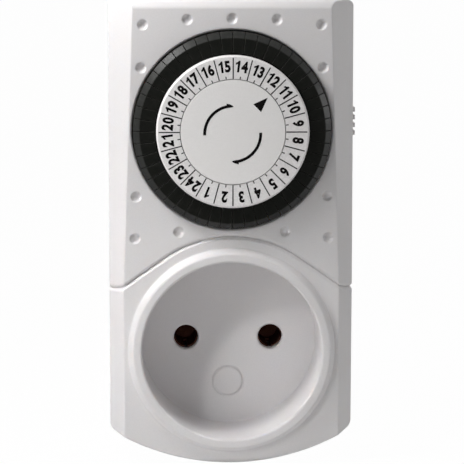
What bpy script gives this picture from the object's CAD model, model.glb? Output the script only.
"""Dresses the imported 24-hour plug-in timer: moulded and metal finishes, dial print, studio and camera.

Lengths are in metres in the part's own frame: +Z up, the front faces -Y, and the origin is the
middle of the plug face on the plug's axis.
"""
import logging
import math
from collections.abc import Iterable, Sequence
from dataclasses import dataclass, field
from enum import Enum

import bmesh
import bpy
from mathutils import Matrix, Vector


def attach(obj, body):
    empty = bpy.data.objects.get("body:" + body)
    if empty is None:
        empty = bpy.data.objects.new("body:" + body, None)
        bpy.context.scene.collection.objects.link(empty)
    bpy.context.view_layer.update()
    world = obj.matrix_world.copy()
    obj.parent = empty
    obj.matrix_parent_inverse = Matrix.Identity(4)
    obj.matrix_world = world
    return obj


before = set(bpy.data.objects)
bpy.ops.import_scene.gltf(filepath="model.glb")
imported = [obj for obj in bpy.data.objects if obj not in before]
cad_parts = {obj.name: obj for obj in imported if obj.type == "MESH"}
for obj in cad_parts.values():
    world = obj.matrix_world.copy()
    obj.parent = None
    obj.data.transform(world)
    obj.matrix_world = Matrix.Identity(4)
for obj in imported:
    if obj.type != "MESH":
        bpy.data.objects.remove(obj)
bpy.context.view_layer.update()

LOG = logging.getLogger("timer")
DIAL_HEIGHT = 0.0486  # from the plug's axis up to the dial's
WHITE = (1.0, 1.0, 1.0, 1.0)
Colour = tuple[float, float, float]
Span = tuple[float, float]


# ---- Shader graphs ----


class Grain(Enum):
    """Surface textures of the moulded pieces, as (grain size in metres, bump height in metres)."""

    SPARKED = (0.00022, 0.0000075)
    SATIN = (0.00030, 0.0000040)
    PEARL = (0.00034, 0.0000060)
    MATT = (0.00018, 0.0000090)


class Graph:
    """A shader tree with short calls for adding and joining its nodes."""

    def __init__(self, tree: bpy.types.NodeTree) -> None:
        """Empties the tree.

        Args:
            tree: The material's or the group's node tree.
        """
        self.tree = tree
        tree.nodes.clear()

    def add(self, kind: str, inputs: dict | None = None, **settings: object) -> bpy.types.Node:
        """Adds a node, sets its settings and sets or joins its inputs.

        Args:
            kind: The node's type, such as "ShaderNodeTexNoise".
            inputs: Values or output sockets by input name or number.
            settings: The node's own settings.

        Returns:
            The new node.
        """
        node = self.tree.nodes.new(kind)
        for name, value in settings.items():
            setattr(node, name, value)
        for name, value in (inputs or {}).items():
            self.feed(node.inputs[name], value)
        return node

    def feed(self, socket: bpy.types.NodeSocket, value: object) -> None:
        """Joins an output to a socket, or sets the socket's own value.

        Args:
            socket: The input socket.
            value: An output socket, or a plain value.
        """
        if isinstance(value, bpy.types.NodeSocket):
            self.tree.links.new(value, socket)
        else:
            socket.default_value = value

    def math(self, operation: str, first: object, second: object = 0.0,
             clamp: bool = False) -> bpy.types.NodeSocket:
        """Adds a Math node.

        Args:
            operation: The node's operation.
            first: Its first value or output socket.
            second: Its second value or output socket.
            clamp: Whether the result is kept between 0 and 1.

        Returns:
            The result's socket.
        """
        node = self.add("ShaderNodeMath", {0: first, 1: second}, operation=operation, use_clamp=clamp)
        return node.outputs[0]

    def spread(self, value: object, given: Span, wanted: Span = (0.0, 1.0)) -> bpy.types.NodeSocket:
        """Maps a value from one range to another, clamped.

        Args:
            value: The value or output socket.
            given: The range that the value comes in.
            wanted: The range that it's mapped to.

        Returns:
            The result's socket.
        """
        node = self.add("ShaderNodeMapRange", {"Value": value, "From Min": given[0], "From Max": given[1],
                                               "To Min": wanted[0], "To Max": wanted[1]})
        return node.outputs["Result"]

    def tint(self, mask: object, first: object, second: object) -> bpy.types.NodeSocket:
        """Mixes two colours by a mask.

        Args:
            mask: 0 for the first colour, 1 for the second.
            first: A colour or output socket.
            second: A colour or output socket.

        Returns:
            The mixed colour's socket.
        """
        node = self.add("ShaderNodeMix", data_type="RGBA")
        for number, value in ((0, mask), (6, first), (7, second)):
            self.feed(node.inputs[number], value)
        return node.outputs[2]


class Effect:
    """A node group that several finishes share, built once."""

    name = "effect"
    numbers: Sequence[tuple[str, float]] = ()
    results: Sequence[tuple[str, str]] = ()
    _built: dict[str, bpy.types.NodeTree] = {}

    def build(self, graph: Graph, given: bpy.types.Node, result: bpy.types.Node) -> None:
        """Fills the group's tree between its input and output nodes."""
        raise NotImplementedError

    def tree(self) -> bpy.types.NodeTree:
        """Makes the group on first use.

        Returns:
            The group's node tree.
        """
        if self.name not in self._built:
            tree = bpy.data.node_groups.new(self.name, "ShaderNodeTree")
            for name, value in self.numbers:
                socket = tree.interface.new_socket(name=name, in_out="INPUT", socket_type="NodeSocketFloat")
                socket.default_value = value
            for name, kind in self.results:
                tree.interface.new_socket(name=name, in_out="OUTPUT", socket_type=kind)
            graph = Graph(tree)
            self.build(graph, graph.add("NodeGroupInput"), graph.add("NodeGroupOutput"))
            self._built[self.name] = tree
        return self._built[self.name]

    def place(self, graph: Graph, **values: float) -> bpy.types.Node:
        """Puts the group into a material.

        Args:
            graph: The material's graph.
            values: The group's inputs, with spaces in their names written as underscores.

        Returns:
            The group node.
        """
        node = graph.add("ShaderNodeGroup", node_tree=self.tree())
        for name, value in values.items():
            node.inputs[name.replace("_", " ").capitalize()].default_value = value
        return node


class MouldedGrain(Effect):
    """The fine texture of a spark-eroded mould, with the slow mottle of cooled plastic."""

    name = "moulded_grain"
    numbers = (("Size", 0.00025), ("Mottle size", 0.006))
    results = (("Height", "NodeSocketFloat"), ("Speckle", "NodeSocketFloat"), ("Mottle", "NodeSocketFloat"))
    height_share = 0.6
    speckle_span: Span = (0.38, 0.62)
    mottle_span: Span = (0.36, 0.66)

    def build(self, graph: Graph, given: bpy.types.Node, result: bpy.types.Node) -> None:
        """Adds cells and noise at the grain's size, and a soft noise at the mottle's.

        Args:
            graph: The group's graph.
            given: The group's input node.
            result: The group's output node.
        """
        place = graph.add("ShaderNodeTexCoord").outputs["Object"]
        fine = graph.math("DIVIDE", 1.0, given.outputs["Size"])
        slow = graph.math("DIVIDE", 1.0, given.outputs["Mottle size"])
        cells = graph.add("ShaderNodeTexVoronoi", {"Vector": place, "Scale": fine, "Smoothness": 0.7},
                          feature="SMOOTH_F1")
        noise = graph.add("ShaderNodeTexNoise", {"Vector": place, "Scale": fine, "Detail": 3.0,
                                                 "Roughness": 0.6})
        mottle = graph.add("ShaderNodeTexNoise", {"Vector": place, "Scale": slow, "Detail": 4.0,
                                                  "Roughness": 0.55})
        height = graph.math("ADD", graph.math("MULTIPLY", cells.outputs["Distance"], self.height_share),
                            graph.math("MULTIPLY", noise.outputs["Fac"], self.height_share))
        graph.feed(result.inputs["Height"], height)
        graph.feed(result.inputs["Speckle"], graph.spread(noise.outputs["Fac"], self.speckle_span))
        graph.feed(result.inputs["Mottle"], graph.spread(mottle.outputs["Fac"], self.mottle_span))


class RoundedEdge(Effect):
    """A small radius on every edge, and a mask of where it is."""

    name = "rounded_edge"
    numbers = (("Radius", 0.0002),)
    results = (("Normal", "NodeSocketVector"), ("Edge", "NodeSocketFloat"))
    bevel_samples = 6
    edge_span: Span = (0.99, 0.72)

    def build(self, graph: Graph, given: bpy.types.Node, result: bpy.types.Node) -> None:
        """Compares the rounded normal with the plain one.

        Args:
            graph: The group's graph.
            given: The group's input node.
            result: The group's output node.
        """
        soft = graph.add("ShaderNodeBevel", {"Radius": given.outputs["Radius"]},
                         samples=self.bevel_samples)
        plain = graph.add("ShaderNodeNewGeometry").outputs["Normal"]
        along = graph.add("ShaderNodeVectorMath", {0: soft.outputs["Normal"], 1: plain},
                          operation="DOT_PRODUCT")
        graph.feed(result.inputs["Normal"], soft.outputs["Normal"])
        graph.feed(result.inputs["Edge"], graph.spread(along.outputs["Value"], self.edge_span))


class ShelfDust(Effect):
    """Fine dust, thicker on what faces up, broken up by noise."""

    name = "shelf_dust"
    numbers = (("Amount", 0.2),)
    results = (("Dust", "NodeSocketFloat"),)
    spots_per_metre = 900.0
    slope_span: Span = (-0.2, 1.0)
    least_share = 0.15
    spot_span: Span = (0.42, 0.7)

    def build(self, graph: Graph, given: bpy.types.Node, result: bpy.types.Node) -> None:
        """Multiplies the upward slope, the noise and the amount.

        Args:
            graph: The group's graph.
            given: The group's input node.
            result: The group's output node.
        """
        place = graph.add("ShaderNodeTexCoord").outputs["Object"]
        normal = graph.add("ShaderNodeNewGeometry").outputs["Normal"]
        up = graph.add("ShaderNodeSeparateXYZ", {0: normal}).outputs["Z"]
        noise = graph.add("ShaderNodeTexNoise", {"Vector": place, "Scale": self.spots_per_metre,
                                                 "Detail": 5.0})
        slope = graph.spread(up, self.slope_span, (self.least_share, 1.0))
        broken = graph.spread(noise.outputs["Fac"], self.spot_span)
        dust = graph.math("MULTIPLY", graph.math("MULTIPLY", slope, broken), given.outputs["Amount"])
        graph.feed(result.inputs["Dust"], dust)


class DrawnLines(Effect):
    """Fine lines that rolling or turning leaves in metal."""

    name = "drawn_lines"
    numbers = (("Pitch", 0.0002), ("Stretch", 0.06))
    results = (("Line", "NodeSocketFloat"),)

    def build(self, graph: Graph, given: bpy.types.Node, result: bpy.types.Node) -> None:
        """Adds a noise that is drawn out along the depth of the part.

        Args:
            graph: The group's graph.
            given: The group's input node.
            result: The group's output node.
        """
        place = graph.add("ShaderNodeTexCoord").outputs["Object"]
        scale = graph.add("ShaderNodeCombineXYZ", {"X": 1.0, "Y": given.outputs["Stretch"], "Z": 1.0})
        drawn = graph.add("ShaderNodeVectorMath", {0: place, 1: scale.outputs[0]}, operation="MULTIPLY")
        noise = graph.add("ShaderNodeTexNoise", {"Vector": drawn.outputs[0], "Detail": 2.0,
                                                 "Scale": graph.math("DIVIDE", 1.0, given.outputs["Pitch"])})
        graph.feed(result.inputs["Line"], noise.outputs["Fac"])


# ---- Finishes ----


@dataclass(frozen=True)
class Finish:
    """What a surface is made of. Its name is also its material slot in the record."""

    name: str
    colour: Colour
    roughness: float = 0.45
    roughness_swing: Span = (0.0, 0.0)

    def roughness_span(self) -> Span:
        """Finds how smooth and how rough the surface gets.

        Returns:
            The lowest and the highest roughness.
        """
        return self.roughness + self.roughness_swing[0], self.roughness + self.roughness_swing[1]

    def paint(self, graph: Graph, shader: bpy.types.Node) -> None:
        """Joins the finish's own nodes to the shader."""
        raise NotImplementedError

    def material(self) -> bpy.types.Material:
        """Builds the material, or returns it if it's there already.

        Returns:
            The procedural material.
        """
        name = f"{self.name}_finish"
        found = bpy.data.materials.get(name)
        if found:
            return found
        material = bpy.data.materials.new(name)
        material.use_nodes = True
        graph = Graph(material.node_tree)
        shader = graph.add("ShaderNodeBsdfPrincipled", {"Base Color": (*self.colour, 1.0),
                                                        "Roughness": self.roughness})
        self.paint(graph, shader)
        graph.feed(graph.add("ShaderNodeOutputMaterial").inputs["Surface"], shader.outputs[0])
        return material


@dataclass(frozen=True)
class Moulded(Finish):
    """An injection-moulded plastic with its grain, rounded edges, mottle and a little dust."""

    grain: Grain = Grain.SPARKED
    edge_radius: float = 0.0002
    edge_colour: Colour | None = None
    edge_share: float = 0.4
    speckle: float = 0.04
    mottle: float = 0.03
    dust: float = 0.05
    dust_colour: Colour = (0.55, 0.53, 0.50)
    specular: float = 0.5
    subsurface: float = 0.0
    subsurface_radius: tuple[float, float, float] = (0.0006, 0.0005, 0.0004)
    mottle_size: float = 0.007
    mottle_weights: tuple[float, float, float] = (0.7, 0.9, 1.2)
    mottle_share: float = 0.5
    roughness_swing: Span = (-0.04, 0.05)

    def paint(self, graph: Graph, shader: bpy.types.Node) -> None:
        """Mixes grain, edge and dust into the colour, the roughness and the bump.

        Args:
            graph: The material's graph.
            shader: The material's shader node.
        """
        size, height = self.grain.value
        grain = MouldedGrain().place(graph, size=size, mottle_size=self.mottle_size)
        edge = RoundedEdge().place(graph, radius=self.edge_radius)
        dust = ShelfDust().place(graph, amount=self.dust)
        dark = tuple(part * (1.0 - self.speckle) for part in self.colour)
        warm = tuple(part * (1.0 - self.mottle * weight)
                     for part, weight in zip(self.colour, self.mottle_weights))
        colour = graph.tint(grain.outputs["Speckle"], (*dark, 1.0), (*self.colour, 1.0))
        spots = graph.math("MULTIPLY", grain.outputs["Mottle"], self.mottle_share)
        colour = graph.tint(spots, colour, (*warm, 1.0))
        if self.edge_colour:
            worn = graph.math("MULTIPLY", edge.outputs["Edge"], self.edge_share)
            colour = graph.tint(worn, colour, (*self.edge_colour, 1.0))
        colour = graph.tint(dust.outputs["Dust"], colour, (*self.dust_colour, 1.0))
        graph.feed(shader.inputs["Base Color"], colour)
        rough = graph.spread(grain.outputs["Mottle"], (0.0, 1.0), self.roughness_span())
        graph.feed(shader.inputs["Roughness"], rough)
        bump = graph.add("ShaderNodeBump", {"Strength": 1.0, "Distance": height,
                                            "Normal": edge.outputs["Normal"],
                                            "Height": grain.outputs["Height"]})
        graph.feed(shader.inputs["Normal"], bump.outputs["Normal"])
        shader.inputs["Specular IOR Level"].default_value = self.specular
        if self.subsurface:
            shader.inputs["Subsurface Weight"].default_value = self.subsurface
            shader.inputs["Subsurface Radius"].default_value = self.subsurface_radius
            shader.inputs["Subsurface Scale"].default_value = 1.0


@dataclass(frozen=True)
class Tappet(Moulded):
    """Matt black plastic whose outer bevel is polished by fingers that push and turn the dial."""

    axis_height: float = DIAL_HEIGHT
    polish_start: float = 0.0200
    polish_full: float = 0.0203
    polish: float = 0.46
    polish_roughness: float = 0.29

    def paint(self, graph: Graph, shader: bpy.types.Node) -> None:
        """Adds a coat that starts at a distance from the dial's axis.

        Args:
            graph: The material's graph.
            shader: The material's shader node.
        """
        super().paint(graph, shader)
        place = graph.add("ShaderNodeTexCoord").outputs["Object"]
        spot = graph.add("ShaderNodeSeparateXYZ", {0: place}).outputs
        flat = graph.add("ShaderNodeCombineXYZ", {"X": spot["X"], "Y": 0.0,
                                                  "Z": graph.math("SUBTRACT", spot["Z"], self.axis_height)})
        distance = graph.add("ShaderNodeVectorMath", {0: flat.outputs[0]}, operation="LENGTH")
        polish = graph.spread(distance.outputs["Value"], (self.polish_start, self.polish_full),
                              (0.0, self.polish))
        edge = RoundedEdge().place(graph, radius=self.edge_radius)
        inside = graph.math("SUBTRACT", 1.0, edge.outputs["Edge"], clamp=True)
        graph.feed(shader.inputs["Coat Weight"], graph.math("MULTIPLY", polish, inside))
        shader.inputs["Coat Roughness"].default_value = self.polish_roughness


@dataclass(frozen=True)
class Metal(Finish):
    """A drawn, turned or plated metal with fine lines and slightly tarnished spots."""

    tarnish: Colour = (0.35, 0.33, 0.30)
    tarnish_share: float = 0.25
    roughness_swing: Span = (-0.07, 0.09)
    line_pitch: float = 0.00025
    line_depth: float = 0.000006
    line_strength: float = 0.6
    line_span: Span = (0.3, 0.7)
    grain_size: float = 0.0004
    spot_size: float = 0.002
    edge_radius: float = 0.00015

    def paint(self, graph: Graph, shader: bpy.types.Node) -> None:
        """Mixes lines and tarnish into the colour, the roughness and the bump.

        Args:
            graph: The material's graph.
            shader: The material's shader node.
        """
        lines = DrawnLines().place(graph, pitch=self.line_pitch)
        grain = MouldedGrain().place(graph, size=self.grain_size, mottle_size=self.spot_size)
        edge = RoundedEdge().place(graph, radius=self.edge_radius)
        spots = graph.math("MULTIPLY", grain.outputs["Mottle"], self.tarnish_share)
        graph.feed(shader.inputs["Base Color"], graph.tint(spots, (*self.colour, 1.0), (*self.tarnish, 1.0)))
        rough = graph.spread(lines.outputs["Line"], self.line_span, self.roughness_span())
        graph.feed(shader.inputs["Roughness"], rough)
        bump = graph.add("ShaderNodeBump", {"Strength": self.line_strength, "Distance": self.line_depth,
                                            "Height": lines.outputs["Line"],
                                            "Normal": edge.outputs["Normal"]})
        graph.feed(shader.inputs["Normal"], bump.outputs["Normal"])
        shader.inputs["Metallic"].default_value = 1.0


@dataclass(frozen=True)
class WoundWire(Finish):
    """Enamelled copper wire wound round the motor's bobbin."""

    wire: float = 0.00028
    rows_per_wire: float = 0.05
    gap_share: float = 0.25
    gap_span: Span = (0.05, 0.5)
    relief_share: float = 0.3
    edge_radius: float = 0.0003
    metallic: float = 0.7

    def paint(self, graph: Graph, shader: bpy.types.Node) -> None:
        """Rings of wire round the motor's axis, dark in the gaps.

        Args:
            graph: The material's graph.
            shader: The material's shader node.
        """
        place = graph.add("ShaderNodeTexCoord").outputs["Object"]
        rows = graph.add("ShaderNodeTexWave", {"Vector": place, "Scale": self.rows_per_wire / self.wire,
                                               "Distortion": 0.8, "Detail": 1.0},
                         wave_type="BANDS", bands_direction="Y")
        edge = RoundedEdge().place(graph, radius=self.edge_radius)
        gap = tuple(part * self.gap_share for part in self.colour)
        wire = graph.spread(rows.outputs["Fac"], self.gap_span)
        graph.feed(shader.inputs["Base Color"], graph.tint(wire, (*gap, 1.0), (*self.colour, 1.0)))
        bump = graph.add("ShaderNodeBump", {"Distance": self.wire * self.relief_share,
                                            "Height": rows.outputs["Fac"],
                                            "Normal": edge.outputs["Normal"]})
        graph.feed(shader.inputs["Normal"], bump.outputs["Normal"])
        shader.inputs["Metallic"].default_value = self.metallic


@dataclass(frozen=True)
class Ink(Finish):
    """Pad-printed ink: dense, matt and slightly uneven."""

    specular: float = 0.04
    grain_size: float = 0.00016
    grain_depth: float = 0.000003
    grain_strength: float = 0.5
    mottle_size: float = 0.0015
    thin_lift: float = 0.006
    thin_share: float = 0.6

    def paint(self, graph: Graph, shader: bpy.types.Node) -> None:
        """Thins the ink a little in small spots.

        Args:
            graph: The material's graph.
            shader: The material's shader node.
        """
        grain = MouldedGrain().place(graph, size=self.grain_size, mottle_size=self.mottle_size)
        thin = tuple(part + self.thin_lift for part in self.colour)
        spots = graph.math("MULTIPLY", grain.outputs["Speckle"], self.thin_share)
        shader.inputs["Specular IOR Level"].default_value = self.specular
        graph.feed(shader.inputs["Base Color"], graph.tint(spots, (*self.colour, 1.0), (*thin, 1.0)))
        bump = graph.add("ShaderNodeBump", {"Strength": self.grain_strength, "Distance": self.grain_depth,
                                            "Height": grain.outputs["Height"]})
        graph.feed(shader.inputs["Normal"], bump.outputs["Normal"])


@dataclass(frozen=True)
class FinishSet:
    """Every finish of the timer."""

    case: Finish = Moulded("white_case_plastic", (0.80, 0.78, 0.782), 0.42, grain=Grain.SPARKED,
                           edge_radius=0.0005, subsurface=0.15)
    numbers: Finish = Moulded("number_ring_plastic", (0.93, 0.905, 0.90), 0.5, grain=Grain.PEARL,
                              speckle=0.12, edge_radius=0.0001)
    disc: Finish = Moulded("centre_disc_plastic", (0.95, 0.93, 0.915), 0.38, grain=Grain.SATIN,
                           speckle=0.03)
    carrier: Finish = Moulded("dial_carrier_plastic", (0.012, 0.012, 0.012), 0.6, grain=Grain.MATT,
                              specular=0.15)
    tappet: Finish = Tappet("black_tappet_plastic", (0.005, 0.0055, 0.0042), 0.5, grain=Grain.SATIN,
                            specular=0.07, edge_radius=0.00024, edge_colour=(0.09, 0.09, 0.08),
                            edge_share=0.6, dust=0.02)
    steel: Finish = Metal("steel", (0.62, 0.62, 0.61), 0.32)
    nickel: Finish = Metal("nickel_plate", (0.74, 0.72, 0.68), 0.22, tarnish=(0.5, 0.47, 0.42))
    brass: Finish = Metal("contact_brass", (0.78, 0.57, 0.25), 0.3, tarnish=(0.38, 0.24, 0.11))
    bronze: Finish = Metal("contact_bronze", (0.085, 0.034, 0.024), 0.6, tarnish=(0.04, 0.014, 0.010),
                           tarnish_share=0.7)
    switch: Finish = Moulded("switch_base_plastic", (0.42, 0.41, 0.39), 0.5, grain=Grain.SATIN)
    movement: Finish = Moulded("movement_plastic", (0.72, 0.69, 0.60), 0.4, grain=Grain.SATIN,
                               subsurface=0.1)
    coil: Finish = WoundWire("coil_copper", (0.52, 0.20, 0.08), 0.35)
    magnet: Finish = Moulded("rotor_magnet", (0.06, 0.06, 0.065), 0.65, grain=Grain.MATT, speckle=0.3)
    leads: Finish = Moulded("lead_insulation", (0.05, 0.12, 0.42), 0.4, grain=Grain.SATIN)
    black_ink: Finish = Ink("black_ink", (0.003, 0.002, 0.002), 0.6)
    line_ink: Finish = Ink("line_ink", (0.020, 0.018, 0.018), 0.6)


FINISHES = FinishSet()


# ---- Print on the dial ----


@dataclass
class PrintedPiece:
    """Ink on the dial's front, drawn flat in the dial's plane and laid on the plastic."""

    name: str
    body: str
    level: float
    finish: Finish
    slot: str
    centre: tuple[float, float] = (0.0, DIAL_HEIGHT)
    thickness: float = 0.00002
    mesh: bmesh.types.BMesh = field(default_factory=bmesh.new)

    def at(self, radius: float, clock: float) -> Vector:
        """Finds a point of the dial's front.

        Args:
            radius: The distance from the centre.
            clock: The angle clockwise from the top, in degrees.

        Returns:
            The point.
        """
        turn = math.radians(clock)
        return Vector((self.centre[0] + radius * math.sin(turn), self.level,
                       self.centre[1] + radius * math.cos(turn)))

    def patch(self, points: Iterable[Vector]) -> None:
        """Adds one flat face, turned to the front.

        Args:
            points: Its corners in order.
        """
        face = self.mesh.faces.new([self.mesh.verts.new(point) for point in points])
        face.normal_update()
        if face.normal.y > 0:
            face.normal_flip()

    def finished(self) -> bpy.types.Object:
        """Gives the ink its thickness, dresses it and lays it on its body.

        Returns:
            The printed piece.
        """
        bmesh.ops.recalc_face_normals(self.mesh, faces=self.mesh.faces)
        data = bpy.data.meshes.new(self.name)
        self.mesh.to_mesh(data)
        self.mesh.free()
        piece = bpy.data.objects.new(self.name, data)
        bpy.context.scene.collection.objects.link(piece)
        thick = piece.modifiers.new("ink_thickness", "SOLIDIFY")
        thick.thickness = self.thickness
        thick.offset = 0.0
        data.materials.append(self.finish.material())
        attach(piece, self.body)
        return piece


@dataclass
class DialPrint:
    """The numbers and lines that turn with the dial, and the marks on the fixed disc."""

    level: float = -0.05321
    hours: int = 24
    first_number: int = 14
    line_start: float = 0.01147
    line_end: float = 0.01600
    line_width: float = 0.00024
    tick_end: float = 0.01205
    tick_width: float = 0.00022
    number_radius: float = 0.01416
    number_height: float = 0.0025
    number_squeeze: float = 0.89
    number_weight: float = 0.045
    curve_steps: int = 4
    digit_width: float = 0.9
    # Shares of a digit's height, for the spacing and for the digit 1.
    digit_gap: float = 0.07
    one_margin: float = 0.09
    stem_left: float = 0.20
    stem_width: float = 0.21
    flag_start: float = 0.16
    flag_bend: tuple[float, float] = (0.03, 0.88)
    flag_end: tuple[float, float] = (0.79, 0.62)
    flag_root: float = 0.72
    # Metres, and degrees clockwise from the top. A barb's points are offsets from the stroke's edge
    # and degrees past the neck.
    arrow_centre: tuple[float, float] = (-0.00008, DIAL_HEIGHT - 0.00038)
    arrow_radius: float = 0.00603
    arrow_stroke: float = 0.00062
    arrow_tail: float = -92.5
    arrow_neck: float = -11.8
    arrow_tip: float = 2.0
    arrow_tip_inset: float = 0.00016
    outer_barb: Sequence[tuple[float, float]] = ((0.00036, 0.3), (0.00012, 5.6), (-0.00014, 10.5))
    inner_barb: Sequence[tuple[float, float]] = ((0.00002, 9.0), (-0.00002, 4.5))
    arrow_steps: int = 28
    pointer_clock: float = 45.0
    pointer_tip: float = 0.01050
    pointer_base: float = 0.00742
    pointer_half_angle: float = 9.2

    def piece(self, name: str, body: str, finish: Finish, **changes: object) -> PrintedPiece:
        """Starts a printed piece on the ring or on the disc.

        Args:
            name: The piece's name.
            body: "dial" for the ring, "case" for the disc.
            finish: The ink.
            changes: Other fields of the piece.

        Returns:
            The piece, still empty.
        """
        slot = "number_ring_plastic" if body == "dial" else "centre_disc_plastic"
        return PrintedPiece(name, body, self.level, finish, slot, **changes)

    def radial_bar(self, piece: PrintedPiece, clock: float, start: float, end: float, width: float) -> None:
        """Adds a bar along a radius.

        Args:
            piece: The printed piece.
            clock: The bar's angle clockwise from the top, in degrees.
            start: Its inner end's distance from the centre.
            end: Its outer end's distance from the centre.
            width: Its width.
        """
        across = (piece.at(1.0, clock + 90.0) - piece.at(0.0, 0.0)) * width / 2
        low, high = piece.at(start, clock), piece.at(end, clock)
        piece.patch([low - across, low + across, high + across, high - across])

    def lines(self) -> bpy.types.Object:
        """Draws a line between every two hours and a short tick at each half hour.

        Returns:
            The printed piece.
        """
        piece = self.piece("hour_lines", "dial", FINISHES.line_ink)
        step = 360.0 / self.hours
        for hour in range(self.hours):
            self.radial_bar(piece, hour * step, self.line_start, self.line_end, self.line_width)
            self.radial_bar(piece, (hour + 0.5) * step, self.line_start, self.tick_end, self.tick_width)
        return piece.finished()

    def one(self) -> bpy.types.Mesh:
        """Draws the digit 1 as a stem with a curved flag, one unit high, its left edge at zero.

        Returns:
            The flat mesh in its own XY plane.
        """
        left, right = self.stem_left, self.stem_left + self.stem_width
        (inset, bend), (top, low) = self.flag_bend, self.flag_end
        points = [(left, 0.0), (right, 0.0), (right, 1.0), (right - self.flag_start, 1.0),
                  (left - inset, bend), (0.0, top), (0.0, low), (left, self.flag_root)]
        mesh = bpy.data.meshes.new("one")
        mesh.from_pydata([(x, y, 0.0) for x, y in points], [], [range(len(points))])
        return mesh

    def digit(self, sign: str) -> bpy.types.Mesh:
        """Draws any other digit in bold, one unit high, with its left and lower edges at zero.

        Args:
            sign: The digit.

        Returns:
            The flat mesh in its own XY plane.
        """
        curve = bpy.data.curves.new("digit", "FONT")
        curve.body = sign
        curve.offset = self.number_weight
        curve.resolution_u = self.curve_steps
        holder = bpy.data.objects.new("digit", curve)
        bpy.context.scene.collection.objects.link(holder)
        bpy.context.view_layer.update()
        ready = holder.evaluated_get(bpy.context.evaluated_depsgraph_get())
        mesh = bpy.data.meshes.new_from_object(ready)
        bpy.data.objects.remove(holder)
        bpy.data.curves.remove(curve)
        points = [vertex.co for vertex in mesh.vertices]
        low = Vector((min(p.x for p in points), min(p.y for p in points), 0.0))
        scale = 1.0 / (max(p.y for p in points) - low.y)
        narrow = Matrix.Diagonal((scale * self.digit_width, scale, scale, 1.0))
        mesh.transform(narrow @ Matrix.Translation(-low))
        return mesh

    def glyphs(self, text: str) -> bmesh.types.BMesh:
        """Sets digits side by side, one unit high and centred on the origin.

        Args:
            text: The digits.

        Returns:
            The flat mesh in its own XY plane.
        """
        line = bmesh.new()
        gap = self.digit_gap + (self.one_margin if "1" in text else 0.0)
        reach = 0.0
        for place, sign in enumerate(text):
            if place:
                reach += gap
            mesh = self.one() if sign == "1" else self.digit(sign)
            mesh.transform(Matrix.Translation((reach, 0.0, 0.0)))
            line.from_mesh(mesh)
            reach = max(vertex.co.x for vertex in mesh.vertices)
            bpy.data.meshes.remove(mesh)
        line.transform(Matrix.Translation((-reach / 2, -0.5, 0.0)))
        return line

    def numbers(self) -> bpy.types.Object:
        """Sets the 24 hour numbers round the ring, tops outwards.

        Returns:
            The printed piece.
        """
        piece = self.piece("hour_numbers", "dial", FINISHES.black_ink)
        step = 360.0 / self.hours
        for place in range(self.hours):
            number = (self.first_number - place - 1) % self.hours + 1
            clock = (place + 0.5) * step
            outward = (piece.at(1.0, clock) - piece.at(0.0, 0.0)).normalized()
            sideways = (piece.at(1.0, clock + 90.0) - piece.at(0.0, 0.0)).normalized()
            middle = piece.at(self.number_radius, clock)
            turn = Matrix((sideways * self.number_height * self.number_squeeze,
                           outward * self.number_height,
                           Vector((0.0, -1.0, 0.0)))).transposed()
            glyphs = self.glyphs(str(number))
            glyphs.transform(Matrix.Translation(middle) @ turn.to_4x4())
            mesh = bpy.data.meshes.new("number")
            glyphs.to_mesh(mesh)
            glyphs.free()
            piece.mesh.from_mesh(mesh)
            bpy.data.meshes.remove(mesh)
        return piece.finished()

    def arrows(self) -> bpy.types.Object:
        """Draws the two curved arrows that show which way the dial turns.

        Returns:
            The printed piece.
        """
        piece = self.piece("turning_arrows", "case", FINISHES.black_ink, centre=self.arrow_centre)
        outer = self.arrow_radius + self.arrow_stroke / 2
        inner = self.arrow_radius - self.arrow_stroke / 2
        for half_turn in (0.0, 180.0):
            start, neck = self.arrow_tail + half_turn, self.arrow_neck + half_turn
            for step in range(self.arrow_steps):
                low = start + (neck - start) * step / self.arrow_steps
                high = start + (neck - start) * (step + 1) / self.arrow_steps
                piece.patch([piece.at(inner, low), piece.at(outer, low),
                             piece.at(outer, high), piece.at(inner, high)])
            head = [piece.at(inner, neck), piece.at(outer, neck)]
            head += [piece.at(outer + offset, neck + turn) for offset, turn in self.outer_barb]
            head += [piece.at(self.arrow_radius - self.arrow_tip_inset, self.arrow_tip + half_turn)]
            head += [piece.at(inner + offset, neck + turn) for offset, turn in self.inner_barb]
            piece.patch(head)
        return piece.finished()

    def pointer(self) -> bpy.types.Object:
        """Draws the triangle that points at the present hour.

        Returns:
            The printed piece.
        """
        piece = self.piece("hour_pointer", "case", FINISHES.black_ink)
        piece.patch([piece.at(self.pointer_tip, self.pointer_clock),
                     piece.at(self.pointer_base, self.pointer_clock + self.pointer_half_angle),
                     piece.at(self.pointer_base, self.pointer_clock - self.pointer_half_angle)])
        return piece.finished()

    def build(self) -> None:
        """Makes every printed piece and reports it."""
        for piece in (self.lines(), self.numbers(), self.arrows(), self.pointer()):
            LOG.info("print: %s, %d faces", piece.name, len(piece.data.polygons))


# ---- Sub-assemblies carried over from the CAD ----


@dataclass
class SubAssembly:
    """Named CAD nodes that keep their shape and get their real finish."""

    title: str = "sub-assembly"

    def finishes(self) -> dict[str, Finish]:
        """The finish of each node by its name."""
        raise NotImplementedError

    def dress(self) -> None:
        """Gives each node its material and reports it."""
        for name, finish in self.finishes().items():
            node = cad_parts[name]
            node.data.materials.clear()
            node.data.materials.append(finish.material())
            LOG.info("%s: %s in %s", self.title, name, finish.name)


@dataclass
class Housing(SubAssembly):
    """Rear housing, plug body, the two covers, their screws and the override slider."""

    title: str = "housing"

    def finishes(self) -> dict[str, Finish]:
        """White mouldings held by steel screws."""
        white = ("rear_housing", "plug_body", "timer_cover", "socket_cover", "override_slider")
        return {name: FINISHES.case for name in white} | {"housing_screws": FINISHES.steel}


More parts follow.
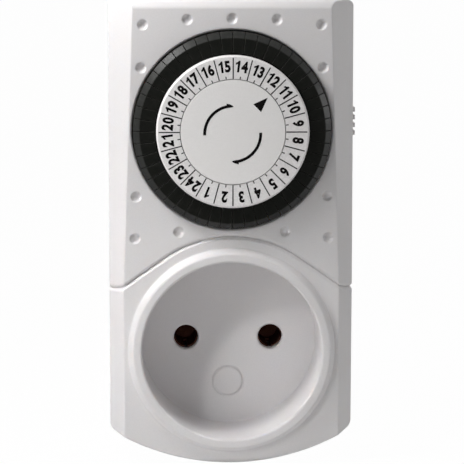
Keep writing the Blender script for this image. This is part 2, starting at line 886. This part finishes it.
@dataclass
class CurrentPath(SubAssembly):
    """Plug pins, bars, contacts and the switch."""

    title: str = "current path"

    def finishes(self) -> dict[str, Finish]:
        """Nickel pins, dull bronze sleeves, brass bars and the switch's plastic.

        Returns:
            The finish of each node by its name.
        """
        brass = ("neutral_bar", "live_inlet_bar", "live_outlet_bar", "contact_leaf")
        sleeves = ("left_socket_contact", "right_socket_contact")
        return {name: FINISHES.brass for name in brass} | {name: FINISHES.bronze for name in sleeves} | {
            "plug_pins": FINISHES.nickel, "fixed_contact": FINISHES.nickel, "follower_pin": FINISHES.steel,
            "switch_base": FINISHES.switch, "follower_lever": FINISHES.movement}


@dataclass
class Movement(SubAssembly):
    """Motor, reduction train, plate and leads."""

    title: str = "movement"

    def finishes(self) -> dict[str, Finish]:
        """Steel motor can, copper coil, plastic wheels.

        Returns:
            The finish of each node by its name.
        """
        steel = ("motor_case", "motor_cover", "clutch_washer", "gear_pins", "plate_screws")
        plastic = ("first_wheel", "second_wheel", "clutch_wheel", "drive_arbor", "movement_plate",
                   "dial_post")
        return {name: FINISHES.steel for name in steel} | {name: FINISHES.movement for name in plastic} | {
            "motor_coil": FINISHES.coil, "rotor": FINISHES.magnet, "motor_leads": FINISHES.leads}


@dataclass
class Dial(SubAssembly):
    """Number ring, fixed disc, tappet carrier and the 48 tappets, two to an hour."""

    title: str = "dial"
    hours: int = 24

    def finishes(self) -> dict[str, Finish]:
        """Pale ring and disc, black carrier and tappets.

        Returns:
            The finish of each node by its name.
        """
        tappets = {f"tappets_hour_{hour}": FINISHES.tappet for hour in range(1, self.hours + 1)}
        return {"number_ring": FINISHES.numbers, "centre_disc": FINISHES.disc,
                "tappet_carrier": FINISHES.carrier} | tappets


# ---- Studio ----


@dataclass
class Softbox:
    """A square lamp that is aimed at a point of the object. Its spread is in degrees."""

    name: str
    place: Vector
    aim: Vector
    side: float
    watts: float
    spread: float = 180.0

    def build(self) -> bpy.types.Object:
        """Makes the lamp and turns it to the object.

        Returns:
            The lamp's object.
        """
        light = bpy.data.lights.new(self.name, "AREA")
        light.shape = "SQUARE"
        light.size = self.side
        light.energy = self.watts
        light.spread = math.radians(self.spread)
        lamp = bpy.data.objects.new(self.name, light)
        bpy.context.scene.collection.objects.link(lamp)
        lamp.location = self.place
        lamp.rotation_euler = (self.aim - self.place).to_track_quat("-Z", "Y").to_euler()
        return lamp


@dataclass
class Camera:
    """The photograph's viewpoint, solved from the object's sizes."""

    place: tuple[float, float, float] = (-0.0267, -0.55425, 0.10388)
    yaw: float = -3.029
    pitch: float = -8.72
    roll: float = -0.116
    focal_pixels: float = 2347.4
    image_width: int = 464
    sensor: float = 36.0
    clip: Span = (0.01, 20.0)

    def build(self) -> bpy.types.Object:
        """Makes the camera and sets it as the scene's camera.

        Returns:
            The camera's object.
        """
        data = bpy.data.cameras.new("camera")
        data.sensor_fit = "HORIZONTAL"
        data.sensor_width = self.sensor
        data.lens = self.focal_pixels * self.sensor / self.image_width
        data.clip_start, data.clip_end = self.clip
        camera = bpy.data.objects.new("camera", data)
        bpy.context.scene.collection.objects.link(camera)
        turn = (Matrix.Rotation(math.radians(self.yaw), 4, "Z")
                @ Matrix.Rotation(math.radians(self.pitch), 4, "X")
                @ Matrix.Rotation(math.radians(self.roll), 4, "Y")
                @ Matrix.Rotation(math.radians(90.0), 4, "X"))
        camera.matrix_world = Matrix.Translation(self.place) @ turn
        bpy.context.scene.camera = camera
        return camera


@dataclass
class Studio:
    """A white floor under the object, soft lamps round it, and a faint even surround."""

    floor_level: float = -0.0254
    floor_size: float = 60.0
    floor_colour: Colour = (0.85, 0.85, 0.85)
    floor_own_light: float = 0.985
    surround: float = 0.1
    surround_colour: Colour = (0.98, 0.99, 1.0)

    def camera_mask(self, graph: Graph) -> bpy.types.NodeSocket:
        """Adds a mask of the rays that see the background: from the camera, by gloss and through glass.

        Args:
            graph: The graph of the floor or of the world.

        Returns:
            The mask's socket.
        """
        path = graph.add("ShaderNodeLightPath").outputs
        seen = graph.math("MAXIMUM", path["Is Camera Ray"], path["Is Glossy Ray"])
        return graph.math("MAXIMUM", seen, path["Is Transmission Ray"])

    def world(self) -> None:
        """White where the camera looks past the object, and a plain even light elsewhere."""
        world = bpy.data.worlds.new("surround")
        world.use_nodes = True
        bpy.context.scene.world = world
        graph = Graph(world.node_tree)
        white = graph.add("ShaderNodeBackground", {"Color": WHITE, "Strength": 1.0})
        even = graph.add("ShaderNodeBackground", {"Color": (*self.surround_colour, 1.0),
                                                  "Strength": self.surround})
        mix = graph.add("ShaderNodeMixShader", {0: self.camera_mask(graph), 1: even.outputs[0],
                                                2: white.outputs[0]})
        graph.feed(graph.add("ShaderNodeOutputWorld").inputs["Surface"], mix.outputs[0])

    def floor(self) -> None:
        """A pale floor that keeps the object's shadow."""
        mesh = bpy.data.meshes.new("studio_floor")
        half = self.floor_size / 2
        corners = [(-half, -half, self.floor_level), (half, -half, self.floor_level),
                   (half, half, self.floor_level), (-half, half, self.floor_level)]
        mesh.from_pydata(corners, [], [(0, 1, 2, 3)])
        floor = bpy.data.objects.new("studio_floor", mesh)
        bpy.context.scene.collection.objects.link(floor)
        material = bpy.data.materials.new("studio_floor_finish")
        material.use_nodes = True
        graph = Graph(material.node_tree)
        paper = graph.add("ShaderNodeBsdfDiffuse", {"Color": (*self.floor_colour, 1.0)})
        white = graph.add("ShaderNodeEmission", {"Color": WHITE, "Strength": 1.0})
        share = graph.math("MULTIPLY", self.camera_mask(graph), self.floor_own_light)
        mix = graph.add("ShaderNodeMixShader", {0: share, 1: paper.outputs[0], 2: white.outputs[0]})
        graph.feed(graph.add("ShaderNodeOutputMaterial").inputs["Surface"], mix.outputs[0])
        mesh.materials.append(material)

    def lamps(self) -> None:
        """Four soft lamps aimed at the middle, and a narrow one each for lower left, recess and back."""
        middle, lower_left = Vector((0.0, -0.045, 0.03)), Vector((-0.022, -0.049, 0.0))
        recess, back = Vector((0.006, -0.030, -0.012)), Vector((0.0, 0.0, 0.02))
        boxes = (
            Softbox("close_light", Vector((-0.078, -0.094, 0.148)), middle, side=0.05, watts=0.113),
            Softbox("side_light", Vector((-0.186, -0.113, 0.228)), middle, side=0.08, watts=0.297),
            Softbox("right_light", Vector((0.291, -0.086, 0.092)), middle, side=0.10, watts=0.142),
            Softbox("front_light", Vector((-0.041, -0.636, 0.124)), middle, side=0.10, watts=0.077),
            Softbox("low_light", Vector((-0.248, -0.239, 0.052)), lower_left, side=0.08,
                    watts=0.0032, spread=22.0),
            Softbox("recess_light", Vector((-0.260, -0.340, 0.240)), recess, side=0.05,
                    watts=0.0022, spread=9.0),
            Softbox("rear_light", Vector((-0.100, 0.500, 0.280)), back, side=0.14,
                    watts=0.022, spread=24.0),
        )
        for box in boxes:
            box.build()
            LOG.info("lamp: %s, %.4f W", box.name, box.watts)

    def build(self) -> None:
        """Makes the surround, the floor and the lamps."""
        bpy.context.scene.view_settings.view_transform = "Standard"
        self.world()
        self.floor()
        self.lamps()


def main() -> None:
    """Builds the camera, the sub-assemblies, the dial's print and the studio."""
    logging.basicConfig(level=logging.INFO, format="%(message)s")
    Camera().build()
    for assembly in (Housing(), CurrentPath(), Movement(), Dial()):
        assembly.dress()
    DialPrint().build()
    Studio().build()
    bpy.context.view_layer.update()


if __name__ == "__main__":
    main()
